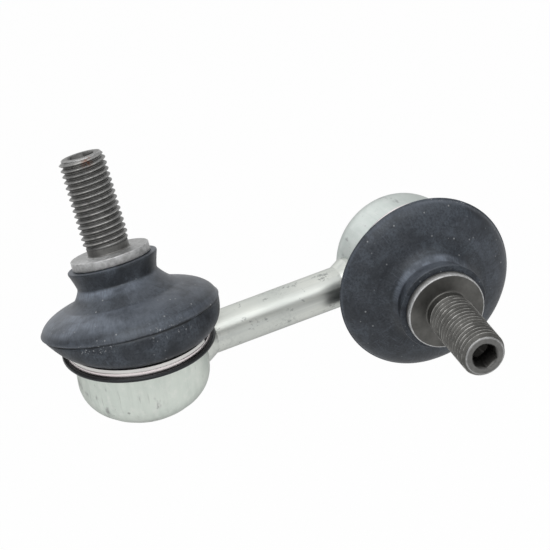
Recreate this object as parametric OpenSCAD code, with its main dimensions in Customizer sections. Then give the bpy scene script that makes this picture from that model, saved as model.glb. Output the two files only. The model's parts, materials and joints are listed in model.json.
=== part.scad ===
// Short stabilizer link: a bar with a sealed ball joint at each end.
// The origin is the middle of the left stud's seat face, +Z runs out along that stud
// and +X runs along the bar to the other joint.

/* [Link] */
// Distance between the two ball centres
centre_distance = 63; // [55:1:160]
// Diameter of the bar
bar_d = 8.6; // [7:0.1:9.4]
// Diameter of the upset foot where the bar is welded to a cup
foot_d = 10.8; // [9.8:0.1:12]
// Length of the upset foot outside the cup wall
foot_l = 2.2; // [1:0.1:4]
// Turn of the right joint about the bar, counted from the left joint
clock_angle = 90; // [0:5:180]

/* [Rest pose] */
// Lean of the left stud away from its housing axis
left_lean = 18; // [0:1:20]
// Way the left stud leans, counted round its housing from the bar
left_bearing = 90; // [0:1:359]
// Lean of the right stud away from its housing axis
right_lean = 7; // [0:1:20]
// Way the right stud leans, counted round its housing from the bar's far side
right_bearing = 207; // [0:1:359]
// Turn of the left stud's socket about its own axis
left_turn = 0; // [0:1:59]
// Turn of the right stud's socket about its own axis
right_turn = 33; // [0:1:59]

/* [Ball stud] */
// Outside diameter of the thread
thread_d = 10; // [9:0.5:12]
// Length of the stud from its seat face to the tip
stud_l = 21.2; // [14:0.1:40]
// Length of the plain shank between the seat face and the thread
relief_l = 2.4; // [1:0.1:4]
// Diameter of the plain shank
relief_d = 9.1; // [7:0.1:9.4]
// Length of the taper where the thread runs out
run_out = 0.3; // [0.2:0.1:0.8]
// Chamfer at the tip
tip_chamfer = 0.9; // [0.3:0.1:1.2]
// Width across the flats of the hexagon socket in the tip
socket_af = 5; // [4:0.5:6]
// Depth of the hexagon socket
socket_depth = 5; // [3:0.5:8]
// Diameter of the countersink round the socket
socket_mouth_d = 6; // [5.4:0.1:7]
// Diameter of the collar
collar_d = 17; // [15:0.1:19]
// Thickness of the collar
collar_t = 2; // [1.2:0.1:3]
// Rounding of the collar's upper edge
collar_round = 0.3; // [0.2:0.1:0.9]
// Height of the collar's seat face above the ball centre
seat_height = 24.1; // [23:0.1:30]
// Diameter of the ball
ball_d = 16; // [14.5:0.1:17.5]
// Diameter of the neck above the ball
neck_d = 9.2; // [8:0.1:9.8]
// Diameter of the journal under the collar that the boot seals on
journal_d = 11; // [10:0.1:11.6]
// Length of the taper between the neck and the journal
journal_taper = 3.5; // [2:0.1:4]

/* [Housing] */
// Outside diameter of the cup
cup_d = 28; // [27:0.1:31]
// Wall of the cup
cup_wall = 3; // [2.6:0.1:3.4]
// Depth of the cup below the ball centre
cup_depth = 12.7; // [12:0.1:16]
// Corner radius between the cup's side and its crowned base
cup_corner = 7.5; // [5:0.1:9]
// Crown radius of the cup's base
cup_crown = 17.5; // [17:0.5:40]
// Height of the cup's shoulder above the ball centre
shoulder_h = 3.4; // [2.6:0.1:4]
// Height of the groove that holds the boot
groove_l = 4; // [3.9:0.1:5]
// Depth of the groove below the cup's side
groove_depth = 1.6; // [1.2:0.1:1.7]
// Step of the rolled rim in from the cup's side
rim_inset = 0.8; // [0.5:0.1:1]
// Height of the rolled rim above the groove
rim_l = 1.2; // [1:0.1:2]
// Largest lean of a stud in its housing
swing_max = 25; // [21:1:26]
// Room left round the neck at the largest lean
swing_room = 0.6; // [0.3:0.1:0.8]

/* [Seat] */
// Angle above the ball's equator to which the seat wraps the ball
seat_wrap = 24; // [16:1:28]
// Thickness of the steel washer over the seat
washer_t = 1.2; // [0.8:0.1:1.6]

/* [Boot] */
// Largest diameter of the boot, at its mould line
boot_d = 38.5; // [36:0.1:42]
// Wall of the boot
boot_wall = 1.6; // [1.2:0.1:2]
// Height of the mould line above the groove's top
boot_mid_h = 2.7; // [2.2:0.1:4]
// Overhang of the left boot's flat bead past the cup's side
left_overhang = 2.3; // [1:0.1:3]
// Overhang of the right boot's flat bead past the cup's side, where the clip draws it in
right_overhang = 1; // [1:0.1:3]
// Drawing-in of the left boot's lower lobe from its mould line
left_draw = 1.1; // [0.6:0.1:3]
// Drawing-in of the right boot's lower lobe from its mould line
right_draw = 2.8; // [0.6:0.1:3]
// Thickness of the bead
bead_t = 0.8; // [0.6:0.1:1.2]
// Open groove between the clip and the lobe above it
lobe_gap = 0.55; // [0.1:0.05:0.6]
// Thickness of the rubber between the groove and the clip
root_t = 1.9; // [1.3:0.05:2]
// Diameter of the boot's neck
boot_neck_d = 17.3; // [17:0.1:19]
// Diameter of the lip under the collar
lip_d = 19.4; // [19:0.1:22]
// Height from the narrowest place of the neck to the lip's top
lip_h = 4; // [3.5:0.1:5]
// Diameter where the shoulder turns into the neck
shoulder_d = 25; // [23:0.1:28]
// Height of the shoulder's turn below the narrowest place of the neck
shoulder_drop = 3.6; // [2.5:0.1:4]

/* [Boot ring] */
// Wall of the steel ring moulded into the lip
ring_t = 0.8; // [0.6:0.1:1]
// Diameter of the ring's flange
ring_flange_d = 16; // [15:0.1:16.4]
// Height of the ring
ring_h = 3.2; // [2.4:0.1:3.6]
// Height of the rubber that seals on the journal below the ring
seal_h = 1; // [0.6:0.1:1.4]
// Rubber between the ring's flange and the collar
lip_cover = 0.5; // [0.4:0.1:0.8]

/* [Clip] */
// Height of the clip's wire
clip_wire_h = 0.9; // [0.7:0.05:1]
// Radial thickness of the clip's wire
clip_wire_t = 1; // [0.6:0.05:1.2]
// Turn over which the wire climbs from the lower layer to the upper
clip_cross = 30; // [20:1:45]
// Way the clip's ends face, counted round the housing from the bar
clip_bearing = 341; // [0:1:359]

/* [Fits] */
// Clearance of surfaces that turn on each other
running_gap = 0.05; // [0.02:0.01:0.08]
// Clearance of pieces that are pressed, welded or rolled tight
seated_gap = 0.02; // [0.01:0.01:0.04]
// Room between the bar's foot and the boot's bead
bead_room = 0.4; // [0.2:0.1:0.8]

/* [Hidden] */
$fn = 96;

// Facets round the boot and round one turn of the clip
boot_sides = 36;
clip_sides = 36;
// Steps along each bend of the boot's outside and inside
outside_steps = 5;
inside_steps = 4;
// Steps along each rounded corner of a turned profile
corner_steps = 6;

// Ball stud, in heights above the ball centre
ball_r = ball_d / 2;
neck_r = neck_d / 2;
journal_r = journal_d / 2;
collar_r = collar_d / 2;
thread_r = thread_d / 2;
relief_r = relief_d / 2;
collar_under = seat_height - collar_t;
thread_low = seat_height + relief_l;
tip_h = seat_height + stud_l;

// Housing, seat and washer
cup_r = cup_d / 2;
bore_r = cup_r - cup_wall;
groove_r = cup_r - groove_depth;
rim_r = cup_r - rim_inset;
groove_top = shoulder_h + groove_l;
rim_top = groove_top + rim_l;
wrap_h = (ball_r + running_gap) * sin(seat_wrap);
wrap_r = (ball_r + running_gap) * cos(seat_wrap);
seat_top = (wrap_h + groove_top) / 2;
washer_low = seat_top + seated_gap;
washer_top = washer_low + washer_t;
lip_under = washer_top + seated_gap;

// Boot, clip and ring
bead_reach = cup_r + max(left_overhang, right_overhang);
bead_low = shoulder_h + running_gap;
bead_top = bead_low + bead_t;
root_r = groove_r + running_gap + root_t;
clip_low = bead_top + seated_gap;
clip_rise = clip_wire_h + seated_gap;
clip_top = clip_low + clip_rise + clip_wire_h;
lobe_low = clip_top + lobe_gap;
groove_room = 0.4;
root_top = groove_top - groove_room;
boot_r = boot_d / 2;
boot_mid = groove_top + boot_mid_h;
lip_top = collar_under - running_gap;
neck_mid = lip_top - lip_h;
turn_h = neck_mid - shoulder_drop;
ring_top = lip_top - lip_cover;
ring_low = ring_top - ring_h;
flange_low = ring_top - ring_t;
seal_low = ring_low - seal_h;

// Raised mould line round the boot
seam = 0.2;
// Flat ledge of the boot over the clip
ledge = 0.6;
// Room between the rolled rim and the inside of the boot
rim_room = 0.3;
// Rounding of the lip's edge
lip_round = 0.5;
// Pull of the boot's bends, as distances of their corner points from the ends
lobe_pull = 1.6;
crown_pull = 1;
neck_pull = 0.2;
lip_pull = 2.2;
inside_pull = 1.3;

// Lean that pulls the foot of the boot's neck straight on the far side
taut_lean = 18;
// Share of the stud's lean that the boot takes up to its crown, the rest being taken by its neck
crown_lean = 0.85;
// Heights between which the boot goes from following the housing to following the stud
lean_low = root_top;
lean_mid = boot_mid + crown_pull;
lean_high = seal_low;

function arc(centre, r, from, to, n = corner_steps) =
    [for (i = [0:n]) let (a = from + (to - from) * i / n) centre + r * [cos(a), sin(a)]];

function bend(a, b, c, n = outside_steps) =
    [for (i = [0:n]) let (t = i / n) (1 - t) * (1 - t) * a + 2 * t * (1 - t) * b + t * t * c];

function rest_of(list) = [for (i = [1:len(list) - 1]) list[i]];

function backwards(list) = [for (i = [len(list) - 1:-1:0]) list[i]];

function smooth(t) = let (u = min(max(t, 0), 1)) u * u * (3 - 2 * u);

// Share of the stud's lean that the boot takes at a height
function lean_share(z) =
    crown_lean * smooth((z - lean_low) / (lean_mid - lean_low))
    + (1 - crown_lean) * smooth((z - lean_mid) / (lean_high - lean_mid));

// A point turned by an angle about the ball centre, towards a bearing
function leaned(p, lean, bearing) =
    let (u = [cos(bearing), sin(bearing)])
    let (along = p[0] * u[0] + p[1] * u[1])
    let (across = -p[0] * u[1] + p[1] * u[0])
    let (out = along * cos(lean) + p[2] * sin(lean))
    [out * u[0] - across * u[1], out * u[1] + across * u[0], p[2] * cos(lean) - along * sin(lean)];

// Radius that clears the leaning neck at a height
function swing_r(z) = z * tan(swing_max) + neck_r / cos(swing_max) + swing_room;

// Places what is drawn about a ball centre, with the housing's axis up
module left_joint() {
    left_axis() lean(-left_lean, left_bearing) children();
}

module right_joint() {
    left_joint() translate([centre_distance, 0, 0]) rotate([clock_angle, 0, 0]) children();
}

// Places what is drawn about a ball centre, with the stud's axis up
module left_axis() {
    translate([0, 0, -seat_height]) children();
}

module right_axis() {
    right_joint() lean(right_lean, right_bearing) children();
}

// Turns what is drawn with the housing's axis up to follow the stud
module lean(angle, bearing) {
    rotate([0, 0, bearing]) rotate([0, angle, 0]) rotate([0, 0, -bearing]) children();
}

module turned(points) {
    rotate_extrude() polygon(points);
}

// Outside of the cup from a height down to the middle of its base, grown by a margin
function cup_outline(margin, top) =
    let (crown_z = cup_crown - cup_depth)
    let (corner_x = cup_r - cup_corner)
    let (reach = cup_crown - cup_corner)
    let (corner_z = crown_z - sqrt(reach * reach - corner_x * corner_x))
    let (meet = atan2(corner_z - crown_z, corner_x))
    concat(
        [[cup_r + margin, top]],
        arc([corner_x, corner_z], cup_corner + margin, 0, meet, 2 * corner_steps),
        rest_of(arc([0, crown_z], cup_crown + margin, meet, -90)));

module link_rod() {
    foot_end = cup_r + foot_l;
    profile = [[0, 0], [foot_d / 2, 0], [foot_d / 2, cup_r], [bar_d / 2, foot_end],
               [bar_d / 2, centre_distance / 2], [0, centre_distance / 2]];
    color("silver") left_joint() difference() {
        for (end = [0, 1]) {
            translate([end * centre_distance, 0, 0]) rotate([0, end == 0 ? 90 : -90, 0]) turned(profile);
        }
        rod_end_cuts();
        translate([centre_distance, 0, 0]) rotate([clock_angle, 0, 0]) rod_end_cuts();
    }
}

// Saddle that fits the cup, and room above it for the boot's bead
module rod_end_cuts() {
    turned(concat([[0, shoulder_h]], cup_outline(seated_gap, shoulder_h)));
    translate([0, 0, shoulder_h - bead_room]) cylinder(r = bead_reach + bead_room, h = foot_d);
    translate([0, 0, -foot_d]) cylinder(r = bore_r, h = 2 * foot_d);
}

// Cup with a groove for the boot, its rim rolled in over the seat washer
module housing() {
    mouth_r = swing_r(rim_top);
    color("gainsboro") turned(concat(
        cup_outline(0, shoulder_h),
        backwards(cup_outline(-cup_wall, lip_under)),
        [[mouth_r, lip_under], [mouth_r, rim_top], [rim_r - rim_l / 2, rim_top],
         [rim_r, rim_top - rim_l / 2], [rim_r, groove_top], [groove_r, groove_top],
         [groove_r, shoulder_h]]));
}

// Plastic socket that wraps the ball past its equator
module ball_seat() {
    flare_r = swing_r(seat_top);
    over = seat_top + washer_t;
    color("ivory") difference() {
        turned(concat([[0, seat_top]], cup_outline(-cup_wall - seated_gap, seat_top)));
        sphere(r = ball_r + running_gap);
        turned([[0, wrap_h], [wrap_r, wrap_h], [flare_r, seat_top], [flare_r, over], [0, over]]);
    }
}

module seat_washer() {
    color("darkgray") translate([0, 0, washer_low]) difference() {
        cylinder(r = bore_r - seated_gap, h = washer_t);
        translate([0, 0, -washer_t]) cylinder(r = swing_r(washer_top), h = 3 * washer_t);
    }
}

module ball_stud(turn) {
    mouth_l = (socket_mouth_d - socket_af) / 2;
    drill_r = socket_af / 2;
    color("dimgray") difference() {
        union() {
            sphere(r = ball_r);
            turned(concat(
                [[0, 0], [neck_r, 0], [neck_r, seal_low - journal_taper], [journal_r, seal_low],
                 [journal_r, collar_under], [collar_r, collar_under]],
                arc([collar_r - collar_round, seat_height - collar_round], collar_round, 0, 90),
                [[relief_r, seat_height], [relief_r, thread_low - run_out], [thread_r, thread_low],
                 [thread_r, tip_h - tip_chamfer], [thread_r - tip_chamfer, tip_h], [0, tip_h]]));
        }
        translate([0, 0, tip_h - socket_depth]) rotate([0, 0, turn])
            cylinder(d = socket_af / cos(30), h = 2 * socket_depth, $fn = 6);
        translate([0, 0, tip_h - mouth_l]) cylinder(r1 = drill_r, r2 = socket_mouth_d / 2, h = mouth_l);
        turned([[0, tip_h - socket_depth - drill_r / 2], [drill_r, tip_h - socket_depth],
                [drill_r, tip_h - socket_depth + mouth_l], [0, tip_h - socket_depth + mouth_l]]);
    }
}

// Steel ring in the boot's lip: a sleeve on the stud's journal with a flange under the collar
module boot_ring() {
    sleeve_in = journal_r + running_gap;
    sleeve_out = sleeve_in + ring_t;
    flange_r = ring_flange_d / 2;
    color("slategray") turned([
        [sleeve_in, ring_low], [sleeve_out, ring_low], [sleeve_out, flange_low],
        [flange_r, flange_low], [flange_r, ring_top], [sleeve_in, ring_top]]);
}

// Outside of the boot from the foot of its bead up to its lip, as radius and height
function boot_outside(overhang, draw, taut) =
    let (turn_r = shoulder_d / 2, neck_r = boot_neck_d / 2, lip_r = lip_d / 2)
    let (bead_r = cup_r + overhang, bead_edge = bead_t / 2)
    let (turn = [turn_r, turn_h], neck = [neck_r, neck_mid])
    let (slack_fold = [neck_r + crown_pull, turn_h], taut_fold = (turn + neck) / 2)
    let (fold = slack_fold * (1 - taut) + taut_fold * taut)
    concat(
        arc([bead_r - bead_edge, bead_low + bead_edge], bead_edge, -90, 90, inside_steps),
        [[root_r, bead_top], [root_r, lobe_low]],
        bend([root_r + ledge, lobe_low], [boot_r - draw, lobe_low + ledge],
             [boot_r - seam, boot_mid - seam]),
        [[boot_r, boot_mid]],
        bend([boot_r - seam, boot_mid + seam], [boot_r - crown_pull, turn_h - lobe_pull], turn),
        rest_of(bend(turn, fold, neck)),
        rest_of(bend(neck, [neck_r + neck_pull, lip_top - lip_round - lip_pull],
                     [lip_r, lip_top - lip_round])),
        [[lip_r - lip_round / 2, lip_top]]);

// Inside of the boot from its lip down to the foot of its bead, with a pocket for the ring
function boot_inside() =
    let (fit = 1 / cos(180 / boot_sides))
    let (seal_r = (journal_r + running_gap) * fit)
    let (sleeve_r = (journal_r + ring_t + 2 * running_gap) * fit)
    let (flange_r = (ring_flange_d / 2 + running_gap) * fit)
    let (groove_in = (groove_r + running_gap) * fit)
    let (wall_r = boot_r - boot_wall, turn = [shoulder_d / 2 - boot_wall / 2, turn_h - boot_wall])
    concat(
        [[seal_r, lip_top], [seal_r, ring_top + running_gap], [flange_r, ring_top + running_gap],
         [flange_r, flange_low - running_gap], [sleeve_r, flange_low - running_gap],
         [sleeve_r, ring_low - running_gap], [seal_r, ring_low - running_gap], [seal_r, seal_low]],
        bend([seal_r + ledge, seal_low], [seal_r + crown_pull, turn[1] + crown_pull], turn, inside_steps),
        rest_of(bend(turn, [wall_r - crown_pull, turn[1] - inside_pull], [wall_r, boot_mid], inside_steps)),
        rest_of(bend([wall_r, boot_mid], [wall_r - lobe_pull, lobe_low + boot_wall],
                     [rim_r + rim_room, root_top], inside_steps)),
        [[groove_in, root_top], [groove_in, bead_low]]);

// Rubber boot, lofted from the housing's axis to the stud's leaning axis
module boot(angle, bearing, overhang, draw) {
    count = len(concat(boot_outside(overhang, draw, 0), boot_inside()));
    points = [for (s = [0:boot_sides - 1]) let (a = 360 * s / boot_sides)
        let (taut = angle / taut_lean * (1 - cos(a - bearing)) / 2)
        for (p = concat(boot_outside(overhang, draw, min(taut, 1)), boot_inside()))
        leaned([p[0] * cos(a), p[0] * sin(a), p[1]], angle * lean_share(p[1]), bearing)];
    faces = [for (s = [0:boot_sides - 1]) let (a = s * count, b = (s + 1) % boot_sides * count)
        for (i = [0:count - 1]) let (k = (i + 1) % count)
        for (f = [[a + i, a + k, b + k], [a + i, b + k, b + i]]) f];
    color("#2b2f36") polyhedron(points, faces, convexity = 8);
}

module left_boot() {
    left_joint() boot(left_lean, left_bearing, left_overhang, left_draw);
}

module right_boot() {
    right_joint() boot(right_lean, right_bearing, right_overhang, right_draw);
}

// Two layers of flat wire, like a split ring, that climbs from one to the other over a short crossing
module boot_clip() {
    inner = (root_r + seated_gap) / cos(180 / clip_sides);
    outer = inner + clip_wire_t;
    edge = clip_wire_t / 4;
    section = [[inner, edge], [inner + edge, 0], [outer - edge, 0], [outer, edge],
               [outer, clip_wire_h - edge], [outer - edge, clip_wire_h],
               [inner + edge, clip_wire_h], [inner, clip_wire_h - edge]];
    count = len(section);
    step = 360 / clip_sides;
    first = ceil(clip_cross / 2 / step) + 1;
    last = 2 * clip_sides - first;
    points = [for (s = [first:last]) let (a = s * step)
        let (climb = clip_rise * smooth((a - 360 + clip_cross / 2) / clip_cross))
        for (p = section) [p[0] * cos(a), p[0] * sin(a), clip_low + p[1] + climb]];
    sides = [for (s = [first:last - 1]) let (a = (s - first) * count, b = a + count)
        for (i = [0:count - 1]) let (k = (i + 1) % count)
        for (f = [[a + i, b + k, a + k], [a + i, b + i, b + k]]) f];
    start_cap = [for (i = [0:count - 1]) i];
    end_cap = [for (i = [count - 1:-1:0]) (last - first) * count + i];
    color("whitesmoke") rotate([0, 0, clip_bearing])
        polyhedron(points, concat(sides, [start_cap], [end_cap]), convexity = 4);
}

link_rod();
left_joint() housing();  // left_housing
left_joint() ball_seat();  // left_ball_seat
left_joint() seat_washer();  // left_seat_washer
left_axis() ball_stud(left_turn);  // left_ball_stud
left_boot();
left_axis() boot_ring();  // left_boot_ring
left_joint() boot_clip();  // left_boot_clip
right_joint() housing();  // right_housing
right_joint() ball_seat();  // right_ball_seat
right_joint() seat_washer();  // right_seat_washer
right_axis() ball_stud(right_turn);  // right_ball_stud
right_boot();
right_axis() boot_ring();  // right_boot_ring
right_joint() boot_clip();  // right_boot_clip
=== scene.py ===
import json
import math
import bmesh
import bpy
from mathutils import Matrix, Vector


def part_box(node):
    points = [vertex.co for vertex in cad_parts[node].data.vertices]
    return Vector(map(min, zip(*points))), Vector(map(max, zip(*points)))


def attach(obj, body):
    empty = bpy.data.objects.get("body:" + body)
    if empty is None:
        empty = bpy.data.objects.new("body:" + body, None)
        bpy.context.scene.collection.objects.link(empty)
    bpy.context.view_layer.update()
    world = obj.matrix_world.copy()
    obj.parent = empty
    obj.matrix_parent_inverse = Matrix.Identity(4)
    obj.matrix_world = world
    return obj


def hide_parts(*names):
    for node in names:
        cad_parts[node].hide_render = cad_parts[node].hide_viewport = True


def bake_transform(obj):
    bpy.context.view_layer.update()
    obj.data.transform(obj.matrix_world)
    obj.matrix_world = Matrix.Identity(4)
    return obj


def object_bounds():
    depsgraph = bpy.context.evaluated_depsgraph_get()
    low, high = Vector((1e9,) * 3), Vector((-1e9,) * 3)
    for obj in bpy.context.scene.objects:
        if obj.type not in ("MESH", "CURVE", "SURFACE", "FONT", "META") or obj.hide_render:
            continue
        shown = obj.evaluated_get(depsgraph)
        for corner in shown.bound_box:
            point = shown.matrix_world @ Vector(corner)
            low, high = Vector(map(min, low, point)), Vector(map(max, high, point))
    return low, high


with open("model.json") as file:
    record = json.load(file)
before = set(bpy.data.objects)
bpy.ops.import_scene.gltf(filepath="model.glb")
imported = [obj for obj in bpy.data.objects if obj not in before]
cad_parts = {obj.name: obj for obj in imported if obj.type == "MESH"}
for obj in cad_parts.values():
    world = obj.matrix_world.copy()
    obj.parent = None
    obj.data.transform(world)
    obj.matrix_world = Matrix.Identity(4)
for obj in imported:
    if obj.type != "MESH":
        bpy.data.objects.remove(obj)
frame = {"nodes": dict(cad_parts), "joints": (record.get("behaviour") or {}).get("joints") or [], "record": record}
cadLow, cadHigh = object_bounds()
scene = bpy.context.scene
mm = 0.001
joints = {joint["name"]: joint for joint in frame["joints"]}
mounts = {mount["name"]: mount for mount in frame["record"]["mounts"]}
sides = ("left", "right")
print("frame loaded:", len(frame["nodes"]), "nodes")


# Axes and centres that every piece is placed by, read from the joints
def basis(origin, zAxis):
    xAxis = Vector((1, 0, 0))
    xAxis = (xAxis - xAxis.dot(zAxis) * zAxis).normalized()
    yAxis = zAxis.cross(xAxis)
    turn = Matrix((xAxis, yAxis, zAxis)).transposed().to_4x4()
    return Matrix.Translation(origin) @ turn


def jointPlace(side):
    swivel = joints[side + "_swivel"]
    ball = Vector(swivel["pos_m"])
    housingAxis = Vector(swivel["axis"]).normalized()
    studAxis = Vector(joints[side + "_spin"]["axis"]).normalized()
    seat = Vector(mounts[side + "_seat"]["pos_m"])
    return {
        "ball": ball,
        "housing": basis(ball, housingAxis),
        "stud": basis(ball, studAxis),
        "housingAxis": housingAxis,
        "studAxis": studAxis,
        "leanAxis": housingAxis.cross(studAxis).normalized(),
        "lean": housingAxis.angle(studAxis),
        "seatHeight": (seat - ball).length / mm,
    }


places = {side: jointPlace(side) for side in sides}


# Small helpers for node trees: put adds a node, calc adds one sum
def put(tree, kind, inputs=None, **settings):
    node = tree.nodes.new(kind)
    for name, value in settings.items():
        setattr(node, name, value)
    for key, value in (inputs or {}).items():
        if isinstance(value, bpy.types.NodeSocket):
            tree.links.new(value, node.inputs[key])
        else:
            node.inputs[key].default_value = value
    return node


def calc(tree, operation, *values, clamp=False):
    node = put(tree, "ShaderNodeMath", dict(enumerate(values)), operation=operation, use_clamp=clamp)
    return node.outputs[0]


def ramp(tree, value, stops):
    node = put(tree, "ShaderNodeValToRGB", {"Fac": value})
    band = node.color_ramp
    while len(band.elements) < len(stops):
        band.elements.new(0.5)
    for element, (place, shade) in zip(band.elements, stops):
        element.position = place
        element.color = (*shade, 1) if len(shade) == 3 else shade
    return node.outputs["Color"]


def grey(level):
    return (level, level, level)


def scaled(tree, value, share):
    return calc(tree, "MULTIPLY", value, share)


def mixColour(tree, share, first, second, blend="MIX"):
    node = put(tree, "ShaderNodeMix", {0: share}, data_type="RGBA", blend_type=blend)
    for key, value in ((6, first), (7, second)):
        if isinstance(value, bpy.types.NodeSocket):
            tree.links.new(value, node.inputs[key])
        else:
            node.inputs[key].default_value = (*value, 1)
    return node.outputs[2]


def noise(tree, where, scale, detail=3.0, roughness=0.55):
    inputs = {"Vector": where, "Scale": scale, "Detail": detail, "Roughness": roughness}
    return put(tree, "ShaderNodeTexNoise", inputs).outputs["Fac"]


def attribute(tree, name):
    return put(tree, "ShaderNodeAttribute", attribute_name=name).outputs["Fac"]


def between(tree, value, low, high):
    inputs = {"Value": value, "From Min": low, "From Max": high}
    return put(tree, "ShaderNodeMapRange", inputs, interpolation_type="SMOOTHSTEP").outputs[0]


def bareMaterial(name):
    material = bpy.data.materials.new(name)
    material.use_nodes = True
    material.node_tree.nodes.clear()
    return material, material.node_tree


def startMaterial(name):
    material, tree = bareMaterial(name)
    shader = put(tree, "ShaderNodeBsdfPrincipled")
    put(tree, "ShaderNodeOutputMaterial", {"Surface": shader.outputs[0]})
    where = put(tree, "ShaderNodeTexCoord").outputs["Object"]
    return material, tree, shader, where


def stretched(tree, where, lengths, turn=(0, 0, 0)):
    inputs = {"Vector": where, "Rotation": turn, "Scale": lengths}
    return put(tree, "ShaderNodeMapping", inputs, vector_type="TEXTURE").outputs[0]


def bump(tree, shader, height, strength, distance):
    node = put(tree, "ShaderNodeBump", {"Height": height, "Strength": strength, "Distance": distance})
    tree.links.new(node.outputs[0], shader.inputs["Normal"])


# Finishes
def zincCupFinish(name, place, tintAndPaintedShade):
    material, tree, shader, where = startMaterial(name)
    facing = place["housing"].to_euler()
    streak = noise(tree, stretched(tree, where, (1, 1, 9), facing), 900, 3, 0.6)
    tone = noise(tree, where, 75, 3)
    mottle = noise(tree, where, 700, 4, 0.65)
    colour = ramp(tree, tone, [(0.3, (0.575, 0.63, 0.59)), (0.7, (0.70, 0.74, 0.69))])
    pale = between(tree, mottle, 0.48, 0.70)
    colour = mixColour(tree, scaled(tree, pale, 0.4), colour, (0.76, 0.77, 0.74))
    brushed = between(tree, streak, 0.42, 0.68)
    colour = mixColour(tree, scaled(tree, brushed, 0.11), colour, (0.42, 0.46, 0.44))
    # Scratches, smudges and spots left by handling
    scratch = noise(tree, stretched(tree, where, (1, 1, 14), facing), 1500, 2)
    scratched = between(tree, noise(tree, where, 110, 2), 0.5, 0.62)
    scratch = scaled(tree, between(tree, scratch, 0.62, 0.70), scratched)
    colour = mixColour(tree, scaled(tree, scratch, 0.45), colour, (0.30, 0.31, 0.30))
    smudge = noise(tree, stretched(tree, where, (1, 1, 2.2), facing), 190, 4, 0.7)
    smudge = between(tree, smudge, 0.585, 0.70)
    colour = mixColour(tree, scaled(tree, smudge, 0.7), colour, (0.24, 0.235, 0.24))
    spots = put(tree, "ShaderNodeTexVoronoi", {"Vector": where, "Scale": 260}, feature="F1")
    spot = between(tree, spots.outputs["Distance"], 0.13, 0.05)
    spot = scaled(tree, spot, between(tree, noise(tree, where, 330, 2), 0.56, 0.62))
    colour = mixColour(tree, scaled(tree, spot, 0.6), colour, (0.16, 0.16, 0.16))
    # Tint with painted shade for each side
    colour = mixColour(tree, 1.0, colour, tintAndPaintedShade, "MULTIPLY")
    tree.links.new(colour, shader.inputs["Base Color"])
    rough = ramp(tree, streak, [(0.3, grey(0.36)), (0.7, grey(0.47))])
    tree.links.new(rough, shader.inputs["Roughness"])
    shader.inputs["Metallic"].default_value = 1.0
    shader.inputs["Specular Tint"].default_value = (*grey(0.55), 1)
    bump(tree, shader, streak, 0.10, 0.0002)
    return material


def zincBarFinish(name):
    material, tree, shader, where = startMaterial(name)
    streak = noise(tree, stretched(tree, where, (18, 1, 1)), 1500, 3, 0.6)
    tone = noise(tree, where, 90, 2)
    grain = noise(tree, where, 1500, 4, 0.7)
    colour = ramp(tree, tone, [(0.3, (0.55, 0.575, 0.545)), (0.7, (0.655, 0.67, 0.63))])
    handled = between(tree, noise(tree, where, 55, 2), 0.38, 0.60)
    worn = scaled(tree, between(tree, grain, 0.42, 0.66), handled)
    colour = mixColour(tree, scaled(tree, worn, 0.5), colour, (0.34, 0.36, 0.35))
    lines = noise(tree, stretched(tree, where, (30, 1, 1)), 620, 3, 0.6)
    lines = between(tree, lines, 0.46, 0.66)
    colour = mixColour(tree, scaled(tree, lines, 0.36), colour, (0.40, 0.425, 0.42))
    scuff = noise(tree, stretched(tree, where, (1.8, 1, 1)), 400, 5, 0.75)
    scuff = scaled(tree, between(tree, scuff, 0.58, 0.635), between(tree, grain, 0.40, 0.52))
    colour = mixColour(tree, scaled(tree, scuff, 0.65), colour, (0.18, 0.19, 0.19))
    tree.links.new(colour, shader.inputs["Base Color"])
    rough = ramp(tree, streak, [(0.3, grey(0.34)), (0.7, grey(0.47))])
    tree.links.new(rough, shader.inputs["Roughness"])
    shader.inputs["Metallic"].default_value = 1.0
    shader.inputs["Specular Tint"].default_value = (*grey(0.6), 1)
    bump(tree, shader, streak, 0.06, 0.0001)
    return material


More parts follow.
